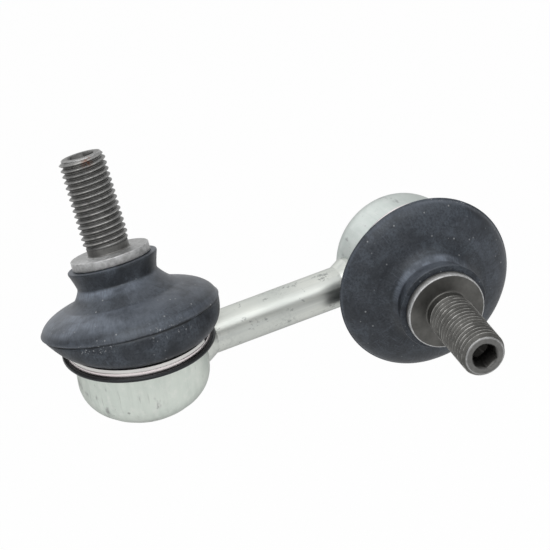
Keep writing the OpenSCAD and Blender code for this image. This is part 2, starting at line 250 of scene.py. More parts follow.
# Polish with painted light, painted shade in cuts, root, crest and rust are painted on the studs' points
def phosphateFinish(name):
    material, tree, shader, where = startMaterial(name)
    grain = noise(tree, where, 1400, 4, 0.65)
    tone = noise(tree, where, 260, 3)
    colour = ramp(tree, tone, [(0.3, (0.090, 0.089, 0.084)), (0.7, (0.152, 0.150, 0.142))])
    rubbed = between(tree, noise(tree, where, 520, 3, 0.7), 0.38, 0.66)
    patchy = ramp(tree, noise(tree, where, 1000, 4, 0.7), [(0.36, grey(0.55)), (0.60, grey(1))])
    # Polish and painted light lighten the rubbed edges and the lit left collar, shank and thread
    bright = scaled(tree, attribute(tree, "polishAndPaintedLight"), patchy)
    colour = mixColour(tree, bright, colour, (0.60, 0.605, 0.61))
    # Crests are lightened, partly real wear and partly a painted highlight
    crest = attribute(tree, "crest")
    worn = scaled(tree, between(tree, crest, 0.85, 1.0), rubbed)
    colour = mixColour(tree, scaled(tree, worn, 0.85), colour, (0.43, 0.425, 0.41))
    cut = attribute(tree, "cut")
    # Painted shade in the thread grooves, the socket and the countersink, and a little on the tip face
    sunk = scaled(tree, between(tree, crest, 0.45, 0.02), cut)
    colour = mixColour(tree, scaled(tree, sunk, 0.66), colour, (0.028, 0.027, 0.025))
    # The root flat is lifted back towards mid grey in patches, a painted highlight inside the painted groove shade
    uneven = ramp(tree, rubbed, [(0.2, grey(0.3)), (0.8, grey(1))])
    rooted = scaled(tree, attribute(tree, "root"), uneven)
    colour = mixColour(tree, scaled(tree, rooted, 0.5), colour, (0.24, 0.237, 0.228))
    specks = between(tree, noise(tree, where, 900, 3), 0.42, 0.55)
    rust = scaled(tree, attribute(tree, "rust"), specks)
    colour = mixColour(tree, rust, colour, (0.16, 0.065, 0.035))
    tree.links.new(colour, shader.inputs["Base Color"])
    rough = ramp(tree, grain, [(0.3, grey(0.42)), (0.7, grey(0.56))])
    tree.links.new(rough, shader.inputs["Roughness"])
    # Scuffed places scatter the light more than the even coat does, and so do the places of painted light
    metal = calc(tree, "SUBTRACT", 0.9, scaled(tree, bright, 0.5))
    tree.links.new(metal, shader.inputs["Metallic"])
    bump(tree, shader, grain, 0.12, 0.0001)
    return material


# Skin runs round the boot and along its outline; dust, bloom with painted highlights, seam with a painted shade
# line, and bead are painted on its points
def rubberFinish(name):
    material, tree, shader, where = startMaterial(name)
    skin = put(tree, "ShaderNodeAttribute", attribute_name="skin").outputs["Vector"]
    cloud = noise(tree, where, 95, 5, 0.62)
    grain = noise(tree, where, 2300, 3, 0.6)
    colour = ramp(tree, cloud, [(0.35, (0.0125, 0.0145, 0.018)), (0.64, (0.041, 0.046, 0.055))])
    haze = between(tree, noise(tree, where, 70, 4, 0.65), 0.48, 0.66)
    colour = mixColour(tree, scaled(tree, haze, 0.34), colour, (0.085, 0.100, 0.121))
    blotch = between(tree, noise(tree, where, 230, 6, 0.72), 0.47, 0.60)
    colour = mixColour(tree, scaled(tree, blotch, 0.42), colour, (0.075, 0.089, 0.108))
    dull = between(tree, noise(tree, where, 160, 6, 0.72), 0.50, 0.64)
    colour = mixColour(tree, scaled(tree, dull, 0.6), colour, (0.009, 0.010, 0.013))
    # Marks of the brush, up the boot and round it, in patches
    upMarks = noise(tree, stretched(tree, skin, (0.6, 0.6, 3.5)), 1, 4, 0.68)
    upMarks = between(tree, upMarks, 0.50, 0.68)
    roundMarks = noise(tree, stretched(tree, skin, (5, 5, 0.5)), 1, 4, 0.65)
    roundMarks = between(tree, roundMarks, 0.52, 0.74)
    patch = between(tree, noise(tree, where, 120, 3), 0.40, 0.60)
    marks = scaled(tree, calc(tree, "MAXIMUM", upMarks, roundMarks), patch)
    colour = mixColour(tree, scaled(tree, marks, 0.55), colour, (0.082, 0.094, 0.116))
    dark = between(tree, grain, 0.42, 0.66)
    colour = mixColour(tree, scaled(tree, dark, 0.5), colour, (0.007, 0.008, 0.011))
    pits = between(tree, noise(tree, where, 480, 4, 0.75), 0.56, 0.68)
    colour = mixColour(tree, scaled(tree, pits, 0.5), colour, (0.008, 0.009, 0.013))
    clouded = noise(tree, where, 150, 6, 0.7)
    clouded = ramp(tree, clouded, [(0.41, grey(0.22)), (0.60, grey(1))])
    settled = scaled(tree, attribute(tree, "dust"), clouded)
    colour = mixColour(tree, settled, colour, (0.130, 0.146, 0.174))
    strokes = noise(tree, stretched(tree, skin, (0.5, 0.5, 2.2)), 1, 4, 0.7)
    strokes = ramp(tree, strokes, [(0.32, grey(0.4)), (0.60, grey(1))])
    spread = noise(tree, stretched(tree, skin, (7, 7, 3)), 1, 3)
    spread = ramp(tree, spread, [(0.38, grey(0.3)), (0.56, grey(1))])
    # Bloom with painted highlights under the neck's crease, on the crown and above the mould line
    bloomAndHighlight = scaled(tree, attribute(tree, "bloomAndHighlight"), scaled(tree, strokes, spread))
    colour = mixColour(tree, bloomAndHighlight, colour, (0.205, 0.235, 0.285))
    # Flecks of dust, thrown unevenly, and crumbs of flash along the mould line
    cells = put(tree, "ShaderNodeTexVoronoi", {"Vector": where, "Scale": 850}, feature="F1")
    pick = put(tree, "ShaderNodeSeparateColor", {0: cells.outputs["Color"]}).outputs[0]
    fleck = between(tree, cells.outputs["Distance"], 0.22, 0.08)
    fleck = scaled(tree, fleck, between(tree, pick, 0.70, 1.0))
    fleck = scaled(tree, fleck, between(tree, noise(tree, where, 130, 2), 0.41, 0.56))
    seam = attribute(tree, "seam")
    crumbs = noise(tree, stretched(tree, skin, (0.45, 0.45, 0.25)), 1, 2)
    crumbs = between(tree, crumbs, 0.62, 0.70)
    crumbs = scaled(tree, crumbs, between(tree, noise(tree, where, 60, 1), 0.50, 0.58))
    crumbs = scaled(tree, crumbs, between(tree, seam, 0.15, 0.5))
    fleck = calc(tree, "MAXIMUM", fleck, crumbs)
    colour = mixColour(tree, scaled(tree, fleck, 0.7), colour, (0.36, 0.37, 0.38))
    # A painted shade line in the nick under the mould line
    faint = noise(tree, stretched(tree, skin, (6, 6, 6)), 1, 2)
    faint = ramp(tree, faint, [(0.40, grey(0.35)), (0.55, grey(1))])
    line = scaled(tree, between(tree, seam, 0.84, 0.96), faint)
    colour = mixColour(tree, line, colour, (0.004, 0.004, 0.005))
    bead = attribute(tree, "bead")
    colour = mixColour(tree, bead, colour, (0.0095, 0.0095, 0.010))
    tree.links.new(colour, shader.inputs["Base Color"])
    rough = ramp(tree, cloud, [(0.3, grey(0.42)), (0.7, grey(0.54))])
    rough = mixColour(tree, bead, rough, grey(0.38))
    tree.links.new(rough, shader.inputs["Roughness"])
    shader.inputs["Specular IOR Level"].default_value = 0.40
    shader.inputs["Specular Tint"].default_value = (0.88, 0.94, 1.0, 1)
    bump(tree, shader, grain, 0.16, 0.0001)
    return material


# The upper turn of the wire is greyer with painted shade from the lobe above it, the lower one rosier with a
# painted reflection
def wireFinish(name):
    material, tree, shader, where = startMaterial(name)
    tone = noise(tree, where, 160, 2)
    lowerTurnWithReflection = ramp(tree, tone, [(0.3, (0.72, 0.655, 0.66)), (0.7, (0.82, 0.765, 0.76))])
    upper = ramp(tree, tone, [(0.3, (0.60, 0.59, 0.575)), (0.7, (0.70, 0.69, 0.67))])
    colour = mixColour(tree, attribute(tree, "upper"), lowerTurnWithReflection, upper)
    tree.links.new(colour, shader.inputs["Base Color"])
    rough = ramp(tree, tone, [(0.3, grey(0.28)), (0.7, grey(0.36))])
    tree.links.new(rough, shader.inputs["Roughness"])
    shader.inputs["Metallic"].default_value = 1.0
    return material


def plainSteelFinish(name):
    material, tree, shader, where = startMaterial(name)
    grain = noise(tree, where, 1200, 3)
    colour = ramp(tree, grain, [(0.3, (0.44, 0.44, 0.45)), (0.7, (0.56, 0.56, 0.57))])
    tree.links.new(colour, shader.inputs["Base Color"])
    rough = ramp(tree, grain, [(0.3, grey(0.28)), (0.7, grey(0.40))])
    tree.links.new(rough, shader.inputs["Roughness"])
    shader.inputs["Metallic"].default_value = 1.0
    return material


def acetalFinish(name):
    material, tree, shader, where = startMaterial(name)
    tone = noise(tree, where, 220, 3)
    colour = ramp(tree, tone, [(0.3, (0.78, 0.75, 0.66)), (0.7, (0.85, 0.83, 0.75))])
    tree.links.new(colour, shader.inputs["Base Color"])
    rough = ramp(tree, tone, [(0.3, grey(0.36)), (0.7, grey(0.46))])
    tree.links.new(rough, shader.inputs["Roughness"])
    return material


barFinish = zincBarFinish("zincBar")
# Each cup's tint, with painted shade darkening the right cup and a little painted light lifting the left
cupTintsAndPaintedShade = {"left": (1.02, 1.02, 1.01), "right": (0.90, 0.905, 0.935)}
cupFinishes = {side: zincCupFinish(side + "ZincCup", places[side], cupTintsAndPaintedShade[side]) for side in sides}
studFinish = phosphateFinish("phosphateSteel")
bootFinish = rubberFinish("bootRubber")
clipFinish = wireFinish("springWire")
steelFinish = plainSteelFinish("plainSteel")
seatFinish = acetalFinish("acetalSeat")
print("finishes made")


# Curves for outlines, as radius and height in millimetres
def arc(centre, radius, fromAngle, toAngle, steps):
    turns = [math.radians(fromAngle + (toAngle - fromAngle) * i / steps) for i in range(steps + 1)]
    return [(centre[0] + radius * math.cos(a), centre[1] + radius * math.sin(a)) for a in turns]


def bend(first, pull, last, steps):
    made = []
    for i in range(steps + 1):
        t = i / steps
        weights = ((1 - t) ** 2, 2 * t * (1 - t), t * t)
        made.append(tuple(sum(w * p[k] for w, p in zip(weights, (first, pull, last))) for k in (0, 1)))
    return made


def straight(first, last, steps):
    return [tuple(a + (b - a) * i / steps for a, b in zip(first, last)) for i in range(steps + 1)]


def joined(*runs):
    made = []
    for run in runs:
        for point in run:
            if not made or math.dist(made[-1], point) > 1e-6:
                made.append(point)
    return made


# A turned surface: rings of columns, closed at a pole where the radius is nothing
def turnedFaces(mesh, outline, columns, loop=False):
    rings = []
    for radius, height in outline:
        if radius < 1e-6:
            rings.append([mesh.verts.new((0, 0, height * mm))])
            continue
        ring = []
        for i in range(columns):
            a = 2 * math.pi * i / columns
            spot = Vector((radius * math.cos(a), radius * math.sin(a), height))
            ring.append(mesh.verts.new(spot * mm))
        rings.append(ring)
    pairs = list(zip(rings, rings[1:]))
    if loop:
        pairs.append((rings[-1], rings[0]))
    for low, high in pairs:
        for i in range(columns):
            k = (i + 1) % columns
            corners = [low[i % len(low)], low[k % len(low)], high[k % len(high)], high[i % len(high)]]
            distinct = list(dict.fromkeys(corners))
            if len(distinct) > 2:
                mesh.faces.new(distinct)
    return rings


# Edges that turn more than this many degrees stay sharp
sharpAngles = {"stud": 50, "boot": 60, "clip": 40}


def finishMesh(name, mesh, material, sharpAngle, place=None):
    bmesh.ops.recalc_face_normals(mesh, faces=mesh.faces)
    data = bpy.data.meshes.new(name)
    mesh.to_mesh(data)
    mesh.free()
    if place is not None:
        data.transform(place)
    data.materials.append(material)
    for face in data.polygons:
        face.use_smooth = True
    data.set_sharp_from_angle(angle=math.radians(sharpAngle))
    piece = bpy.data.objects.new(name, data)
    scene.collection.objects.link(piece)
    return piece


def pointValues(piece, name, values):
    layer = piece.data.attributes.new(name, "FLOAT", "POINT")
    layer.data.foreach_set("value", values)


# Geometry Nodes trees are named inputs around one Group Output
def startTree(name, inputs):
    tree = bpy.data.node_groups.new(name, "GeometryNodeTree")
    tree.interface.new_socket("Geometry", in_out="OUTPUT", socket_type="NodeSocketGeometry")
    for key, kind in inputs:
        tree.interface.new_socket(key, in_out="INPUT", socket_type=kind)
    given = put(tree, "NodeGroupInput").outputs
    return tree, given


def endTree(tree, geometry, material):
    real = put(tree, "GeometryNodeRealizeInstances", {0: geometry})
    shaded = put(tree, "GeometryNodeSetShadeSmooth", {0: real.outputs[0]})
    painted = put(tree, "GeometryNodeSetMaterial", {"Geometry": shaded.outputs[0], "Material": material})
    put(tree, "NodeGroupOutput", {0: painted.outputs[0]})


def runTree(name, tree, values):
    holder = bpy.data.objects.new(name, bpy.data.meshes.new(name + "Empty"))
    scene.collection.objects.link(holder)
    modifier = holder.modifiers.new(name, "NODES")
    modifier.node_group = tree
    sockets = {item.name: item.identifier for item in tree.interface.items_tree if item.in_out == "INPUT"}
    for key, value in values.items():
        modifier[sockets[key]] = value
    depsgraph = bpy.context.evaluated_depsgraph_get()
    data = bpy.data.meshes.new_from_object(holder.evaluated_get(depsgraph), depsgraph=depsgraph)
    bpy.data.objects.remove(holder)
    return data


# Ball stud
studSizes = {
    "ballRadius": 8.0,
    "neckRadius": 4.6,
    "journalRadius": 5.5,
    "journalLow": 17.35,
    "journalTaper": 3.5,
    "journalPull": 1.0,
    "collarRadius": 8.5,
    "collarThickness": 2.0,
    "collarRound": 0.22,
    "collarCorner": 0.25,
    "rimWidth": 0.04,
    "shankRadius": 4.5,
    "shankFillet": 0.35,
    "shankLength": 1.5,
    "columns": 144,
}
threadSizes = {
    "Pitch": 1.25,
    "Root": 4.27,
    "Crest": 4.95,
    "Root Flat": 0.16,
    "Crest Flat": 0.12,
    "Run In": 1.0,
    "Tip Radius": 4.35,
    "Chamfer Slope": 0.9,
}
rustMark = {"side": "left", "offset": Vector((-0.6, -4.4, -1.0)), "radius": 1.7}
socketSizes = {
    "acrossFlats": 5.0,
    "depth": 5.0,
    "mouthRadius": 3.0,
    "mouthSlope": 1.1,
    "point": 1.2,
    "rim": 0.25,
    "edgeWidth": 0.1,
    "turn": {"left": 0, "right": 33},
}
# Polish is wear on the rims and tip, and painted light: the left collar's face and side, its shank and thread are
# lightened where light falls on them
polishesAndPaintedLight = {
    "left": {"rim": 0.8, "side": 0.55, "face": 0.5, "shank": 0.08, "thread": 0.26},
    "right": {"rim": 0.9, "side": 0.06, "face": 0.0, "shank": 0.0, "thread": 0.0},
    "tipRim": 0.55,
    "tipFace": 0.13,
    "mouth": 0.3,
}
# A painted highlight in a wedge on the turned seat face of the left joint
paintedFaceHighlight = {"bearing": 222, "left": 0.6, "right": 0.0, "power": 4}
# Painted shade in what is cut into the stud: thread grooves, socket and countersink mouth; the tip face is
# darkened a little
cutPaintedShades = {"groove": 1.0, "socket": 1.0, "mouth": 0.8, "tipFace": 0.12, "lead": 1.2}
rowsPerPitch = 18
near = 0.02    # slack when a point is told by its place
welds = {"thread": 0.002, "stud": 0.004}    # points closer than these become one
seatHeight = places["left"]["seatHeight"]
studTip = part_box("left_ball_stud")[1].z / mm + seatHeight


def threadTree():
    lengths = [(key, "NodeSocketFloat") for key in ("Low", "High", "Shank", *threadSizes)]
    counts = [(key, "NodeSocketInt") for key in ("Columns", "Rows")]
    tree, given = startTree("cutThread", lengths + counts)
    across = calc(tree, "ADD", given["Columns"], 1)
    grid = put(tree, "GeometryNodeMeshGrid", {
        "Size X": 1, "Size Y": 1, "Vertices X": across, "Vertices Y": given["Rows"]})
    spot = put(tree, "ShaderNodeSeparateXYZ", {0: put(tree, "GeometryNodeInputPosition").outputs[0]})
    turn = calc(tree, "ADD", spot.outputs[0], 0.5)
    lastRow = calc(tree, "SUBTRACT", given["Rows"], 1)
    row = calc(tree, "ROUND", scaled(tree, calc(tree, "ADD", spot.outputs[1], 0.5), lastRow))
    phase = calc(tree, "DIVIDE", row, rowsPerPitch)
    climb = calc(tree, "ADD", calc(tree, "SUBTRACT", phase, 1), turn)
    free = calc(tree, "ADD", given["Low"], scaled(tree, climb, given["Pitch"]))
    height = calc(tree, "MINIMUM", calc(tree, "MAXIMUM", free, given["Low"]), given["High"])
    # Ridge is 0 in the groove and 1 on the crest, by how far round the helix a point lies
    pitches = calc(tree, "DIVIDE", height, given["Pitch"])
    around = calc(tree, "FRACT", calc(tree, "SUBTRACT", pitches, turn))
    fold = calc(tree, "ABSOLUTE", calc(tree, "SUBTRACT", scaled(tree, around, 2), 1))
    flank = calc(tree, "SUBTRACT", 1, calc(tree, "ADD", given["Root Flat"], given["Crest Flat"]))
    ridge = calc(tree, "DIVIDE", calc(tree, "SUBTRACT", fold, given["Root Flat"]), flank, clamp=True)
    grown = calc(tree, "DIVIDE", calc(tree, "SUBTRACT", height, given["Low"]), given["Run In"], clamp=True)
    sunk = scaled(tree, grown, calc(tree, "SUBTRACT", given["Root"], given["Shank"]))
    base = calc(tree, "ADD", given["Shank"], sunk)
    ridge = scaled(tree, ridge, grown)
    depth = calc(tree, "SUBTRACT", given["Crest"], base)
    radius = calc(tree, "ADD", base, scaled(tree, ridge, depth))
    toTip = calc(tree, "SUBTRACT", given["High"], height)
    cone = calc(tree, "ADD", given["Tip Radius"], scaled(tree, given["Chamfer Slope"], toTip))
    radius = calc(tree, "MINIMUM", radius, cone)
    angle = scaled(tree, turn, 2 * math.pi)
    point = put(tree, "ShaderNodeCombineXYZ", {
        0: scaled(tree, radius, calc(tree, "COSINE", angle)),
        1: scaled(tree, radius, calc(tree, "SINE", angle)),
        2: height})
    marked = put(tree, "GeometryNodeStoreNamedAttribute", {
        "Geometry": grid.outputs[0], "Name": "crest", "Value": ridge}, data_type="FLOAT", domain="POINT")
    moved = put(tree, "GeometryNodeSetPosition", {
        "Geometry": marked.outputs[0], "Position": point.outputs[0]})
    merged = put(tree, "GeometryNodeMergeByDistance", {
        "Geometry": moved.outputs[0], "Distance": welds["thread"]})
    endTree(tree, merged.outputs[0], studFinish)
    return tree


# A hexagon's ring of points, which follows the cone of the countersink where a slope is given
def hexRing(mesh, radius, height, columns, hexTurn, slope=0.0):
    ring = []
    for i in range(columns):
        a = 2 * math.pi * i / columns
        wedge = (a - hexTurn) % (math.pi / 3) - math.pi / 6
        reach = radius / math.cos(wedge)
        level = height + (reach - radius) * slope
        spot = Vector((reach * math.cos(a), reach * math.sin(a), level))
        ring.append(mesh.verts.new(spot * mm))
    return ring


def bridge(mesh, low, high):
    count = len(low)
    for i in range(count):
        k = (i + 1) % count
        mesh.faces.new((low[i], low[k], high[k], high[i]))


# Polish and painted light by radius, height above the seat face and height above the tip
def polishAndPaintedLightAt(side, spot, aboveSeat, aboveTip):
    s = studSizes
    radius = spot.xy.length
    toFront = math.cos(math.atan2(spot.y, spot.x) - math.radians(paintedFaceHighlight["bearing"]))
    # painted highlight in a wedge on the seat face
    wedge = paintedFaceHighlight[side] * max(0, toFront) ** paintedFaceHighlight["power"]
    shares = polishesAndPaintedLight[side]
    if abs(aboveTip) < socketSizes["rim"] + near:
        if abs(radius - socketSizes["mouthRadius"]) < near:
            return polishesAndPaintedLight["mouth"]
        edge = threadSizes["Tip Radius"] - socketSizes["rim"] - socketSizes["edgeWidth"]
        inner = radius < edge + near
        return polishesAndPaintedLight["tipFace"] if inner else polishesAndPaintedLight["tipRim"]
    if aboveSeat > near:
        return shares["thread"] if aboveSeat > s["shankLength"] + near else shares["shank"]
    if aboveSeat < near - s["collarThickness"]:
        return 0.0
    if radius > s["collarRadius"] - near:
        return shares["side"] if aboveSeat < -s["collarRound"] - near else shares["rim"]
    onRim = radius > s["collarRadius"] - s["collarRound"] - near
    return shares["rim"] if onRim else shares["face"] + wedge


# Share of painted shade by place on the stud
def cutPaintedShadeAt(spot, shankTop, tip):
    radius = spot.xy.length
    if radius < socketSizes["mouthRadius"] - near and spot.z > shankTop:
        return cutPaintedShades["socket"]
    if radius < socketSizes["mouthRadius"] + near and spot.z > tip - near:
        return cutPaintedShades["mouth"]
    if spot.z > tip - near:
        return cutPaintedShades["tipFace"]
    inThread = shankTop + near < spot.z < tip - cutPaintedShades["lead"]
    return cutPaintedShades["groove"] if inThread else 0.0


def ballStud(side, thread):
    place = places[side]
    s = studSizes
    seat, tip = seatHeight, studTip
    collarLow = seat - s["collarThickness"]
    shankTop = seat + s["shankLength"]
    neckMeet = math.asin(s["neckRadius"] / s["ballRadius"])
    neckTop = (s["neckRadius"], s["journalLow"] - s["journalTaper"])
    corner, rounding, fillet = s["collarCorner"], s["collarRound"], s["shankFillet"]
    cornerAt = s["collarRadius"] - corner
    rimAt = s["collarRadius"] - rounding
    filletAt = s["shankRadius"] + fillet
    outline = joined(
        arc((0, 0), s["ballRadius"], -90, 90 - math.degrees(neckMeet), steps=60),
        straight((s["neckRadius"], s["ballRadius"] * math.cos(neckMeet)), neckTop, steps=4),
        bend(neckTop, (s["neckRadius"], s["journalLow"] - s["journalPull"]),
             (s["journalRadius"], s["journalLow"]), steps=6),
        [(s["journalRadius"], collarLow), (cornerAt, collarLow)],
        arc((cornerAt, collarLow + corner), corner, -90, 0, steps=4),
        arc((rimAt, seat - rounding), rounding, 0, 90, steps=7),
        straight((rimAt - s["rimWidth"], seat), (filletAt, seat), steps=6),
        arc((filletAt, seat + fillet), fillet, -90, -180, steps=5),
        [(s["shankRadius"], shankTop)])
    outline[0] = (0, -s["ballRadius"])
    mesh = bmesh.new()
    turnedFaces(mesh, outline, s["columns"])
    # Rounded tip face, countersunk mouth and hexagon socket
    q = socketSizes
    hexTurn = math.radians(q["turn"][side])
    flat = q["acrossFlats"] / 2
    edge = threadSizes["Tip Radius"]
    lip = arc((edge - q["rim"], tip - q["rim"]), q["rim"], 0, 90, steps=4)
    face = joined(lip, [(edge - q["rim"] - q["edgeWidth"], tip),
                        (q["mouthRadius"] + q["edgeWidth"], tip), (q["mouthRadius"], tip)])
    rings = turnedFaces(mesh, face, s["columns"])
    mouthLow = tip - (q["mouthRadius"] - flat) * q["mouthSlope"]
    hexTop = hexRing(mesh, flat, mouthLow, s["columns"], hexTurn, q["mouthSlope"])
    bridge(mesh, rings[-1], hexTop)
    floor = tip - q["depth"]
    hexLow = hexRing(mesh, flat, floor, s["columns"], hexTurn)
    bridge(mesh, hexTop, hexLow)
    drill = turnedFaces(mesh, [(flat, floor), (0, floor - q["point"])], s["columns"])
    bridge(mesh, hexLow, drill[0])
    mesh.from_mesh(thread)
    bmesh.ops.remove_doubles(mesh, verts=mesh.verts, dist=welds["stud"] * mm)
    piece = finishMesh(side + "Stud", mesh, studFinish, sharpAngles["stud"])
    # Rubbed places of the collar and the tip, painted light on the left collar, shank and thread, painted shade in
    # what is cut, and a rust mark by the left tip
    polishAndPaintedLight, cut, root, rust = [], [], [], []
    rustSpot = Vector((0, 0, tip)) + rustMark["offset"]
    for vert in piece.data.vertices:
        spot = vert.co / mm
        polishAndPaintedLight.append(polishAndPaintedLightAt(side, spot, spot.z - seat, spot.z - tip))
        cut.append(cutPaintedShadeAt(spot, shankTop, tip))
        inGroove = cut[-1] == cutPaintedShades["groove"]
        atRoot = q["mouthRadius"] < spot.xy.length < threadSizes["Root"] + near
        root.append(1.0 if inGroove and atRoot else 0.0)
        reach = (spot - rustSpot).length / rustMark["radius"]
        rust.append(max(0.0, 1 - reach) if side == rustMark["side"] else 0.0)
    for name, values in (("polishAndPaintedLight", polishAndPaintedLight), ("cut", cut), ("root", root), ("rust", rust)):
        pointValues(piece, name, values)
    piece.data.transform(place["stud"])
    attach(piece, side + "_stud")
    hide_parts(side + "_ball_stud")


threadLow = seatHeight + studSizes["shankLength"]
threadHigh = studTip - socketSizes["rim"]
threadRows = math.ceil(((threadHigh - threadLow) / threadSizes["Pitch"] + 1) * rowsPerPitch) + 1
threadMesh = runTree("thread", threadTree(), {
    "Low": threadLow, "High": threadHigh, "Shank": studSizes["shankRadius"],
    "Columns": studSizes["columns"], "Rows": threadRows, **threadSizes})
threadMesh.transform(Matrix.Scale(mm, 4))
for side in sides:
    ballStud(side, threadMesh)
print("studs cut:", len(threadMesh.vertices), "points on each thread")


# Rubber boot, made straight on the housing's axis, then leaned to its rest with the stud
bootSizes = {
    "beadLow": 3.45,
    "beadThickness": 0.8,
    "beadRound": 0.3,
    "rootRadius": 14.35,
    "rootInside": 12.5,
    "rootTop": 7.0,
    "rimRadius": 13.5,
    "lobeLow": 6.64,
    "ledge": 0.6,
    "lobePull": 1.6,
    "radius": 19.25,
    "mouldHeight": 10.1,
    "lineDrop": 0.17,
    "lineReach": 0.9,
    "wall": 1.6,
    "crownPull": 1.0,
    "insidePull": 1.3,
    "shoulderRadius": 12.5,
    "shoulderHeight": 14.45,
    "neckRadius": 8.65,
    "neckHeight": 18.05,
    "neckPull": 0.2,
    "lipRadius": 9.7,
    "lipTop": 22.05,
    "lipRound": 0.25,
    "lipPull": 1.2,
    "lipDrop": 0.45,
    "sealRadius": 5.57,
    "sealHeight": 0.95,
    "ringPocket": 8.1,
    "sleevePocket": 6.45,
    "ringCover": 0.45,
    "ringHeight": 3.3,
    "flangeHeight": 0.9,
    "crownLean": 0.85,
    "leanHigh": 17.35,
    "tautLean": 18.0,
    "lobeStay": 0.2,
    "columns": 160,
}
beadRadius = {"left": 16.3, "right": 15.0}
lobeDraw = {"left": 1.1, "right": 2.8}
# Fine flash left by the mould, with a nick under it, out from the lobe and up from the mould line
flashOutline = (
    (0, -0.34), (-0.02, -0.26), (-0.10, -0.17), (0.16, -0.06), (0.22, 0), (0.13, 0.07), (0, 0.16))


# The outside of the boot, its neck's foot folded where it is slack or pulled straight where it is taut
def bootOutside(b, side, taut):
    beadEdge = beadRadius[side]
    rim = b["radius"] - max(out for out, up in flashOutline)
    flash = [(rim + out, b["mouldHeight"] + up) for out, up in flashOutline]
    beadTop = b["beadLow"] + b["beadThickness"]
    corner = b["beadRound"]
    lobe = (b["rootRadius"] + b["ledge"], b["lobeLow"])
    shoulder = (b["shoulderRadius"], b["shoulderHeight"])
    neck = (b["neckRadius"], b["neckHeight"])
    crownTop = (b["radius"] - b["crownPull"], b["shoulderHeight"] - b["lobePull"])
    lip = (b["lipRadius"], b["lipTop"] - b["lipDrop"])
    lipRound = b["lipRound"]
    lobeFold = (b["radius"] - lobeDraw[side], b["lobeLow"] + b["ledge"])
    neckFold = (b["neckRadius"] + b["neckPull"], b["neckHeight"] + b["lipPull"])
    slackFold = (b["neckRadius"] + b["crownPull"], b["shoulderHeight"])
    fold = straight(shoulder, neck, steps=2)[1] if taut else slackFold
    return joined(
        arc((beadEdge - corner, b["beadLow"] + corner), corner, -90, 0, steps=4),
        arc((beadEdge - corner, beadTop - corner), corner, 0, 90, steps=4),
        straight((beadEdge - corner, beadTop), (b["rootRadius"], beadTop), steps=4),
        straight((b["rootRadius"], b["lobeLow"]), lobe, steps=2),
        bend(lobe, lobeFold, flash[0], steps=24),
        flash,
        bend(flash[-1], crownTop, shoulder, steps=22),
        bend(shoulder, fold, neck, steps=22)[:-1],
        bend(neck, neckFold, lip, steps=14)[1:],
        arc((lip[0] - lipRound, b["lipTop"] - lipRound), lipRound, 0, 90, steps=5))


def bootInside(b):
    ringTop = b["lipTop"] - b["ringCover"]
    flangeLow = ringTop - b["flangeHeight"]
    ringLow = ringTop - b["ringHeight"]
    sealLow = ringLow - b["sealHeight"]
    wallRadius = b["radius"] - b["wall"]
    turn = (b["shoulderRadius"] - b["wall"] / 2, b["shoulderHeight"] - b["wall"])
    sealPull = (b["sealRadius"] + b["crownPull"], turn[1] + b["crownPull"])
    middle = (wallRadius, b["mouldHeight"])
    return joined(
        [(b["sealRadius"], b["lipTop"]), (b["sealRadius"], ringTop), (b["ringPocket"], ringTop),
         (b["ringPocket"], flangeLow), (b["sleevePocket"], flangeLow),
         (b["sleevePocket"], ringLow), (b["sealRadius"], ringLow), (b["sealRadius"], sealLow)],
        bend((b["sealRadius"] + b["ledge"], sealLow), sealPull, turn, steps=8),
        bend(turn, (wallRadius - b["crownPull"], turn[1] - b["insidePull"]), middle, steps=10),
        bend(middle, (wallRadius - b["lobePull"], b["lobeLow"] + b["wall"]),
             (b["rimRadius"], b["rootTop"]), steps=10),
        [(b["rootInside"], b["rootTop"]), (b["rootInside"], b["beadLow"])])


def smooth(share):
    held = min(max(share, 0), 1)
    return held * held * (3 - 2 * held)


# Share of the stud's lean that the boot takes at a height: most below the crown, the rest in the neck
def leanShare(b, height):
    crown = b["mouldHeight"] + b["crownPull"]
    below = smooth((height - b["rootTop"]) / (crown - b["rootTop"]))
    above = smooth((height - crown) / (b["leanHigh"] - crown))
    return b["crownLean"] * below + (1 - b["crownLean"]) * above


# Pale bloom and painted highlight under the crease of the neck, strongest on the side facing the light; a painted
# highlight on the crown and a painted light line a little above the mould line
bloomAndHighlightSizes = {
    "start": 0.3,
    "deep": 2.0,
    "fade": 0.9,
    "crease": 0.9,
    "least": 0.14,
    "seam": 0.3,
    "seamRise": 0.5,
    "seamWidth": 0.35,
    "crescentPower": 3,
    "crownLow": 10.6,
    "crownRise": 1.6,
    "crownPower": 4,
}
# Bearings towards the light, where the painted highlights are strongest
creaseHighlightBearing = {"left": 215, "right": 94}
crownHighlight = {"left": {"bearing": 205, "share": 0.7}, "right": {"bearing": 5, "share": 0.2}}
# Dust by how far a place faces up
dustFall = {"share": 0.54, "from": 0.3, "over": 0.65}


# Share of a bearing in an angle, from 1 on the bearing to 0 behind it
def towards(angle, bearing, power):
    return ((1 + math.cos(angle - math.radians(bearing))) / 2) ** power


def bloomAndHighlightAt(b, side, angle, radius, height):
    m = bloomAndHighlightSizes
    if radius > b["shoulderRadius"]:
        crown = crownHighlight[side]["share"] * smooth((height - m["crownLow"]) / m["crownRise"])
        crown *= towards(angle, crownHighlight[side]["bearing"], m["crownPower"])
        aboveLine = height - b["mouldHeight"] - m["seamRise"]
        return crown + m["seam"] * math.exp(-(aboveLine / m["seamWidth"]) ** 2)
    under = b["neckHeight"] - height
    crescent = towards(angle, creaseHighlightBearing[side], m["crescentPower"])
    share = m["least"] + (1 - m["least"]) * crescent
    return share * m["crease"] * smooth(under / m["start"]) * smooth((m["deep"] - under) / m["fade"])


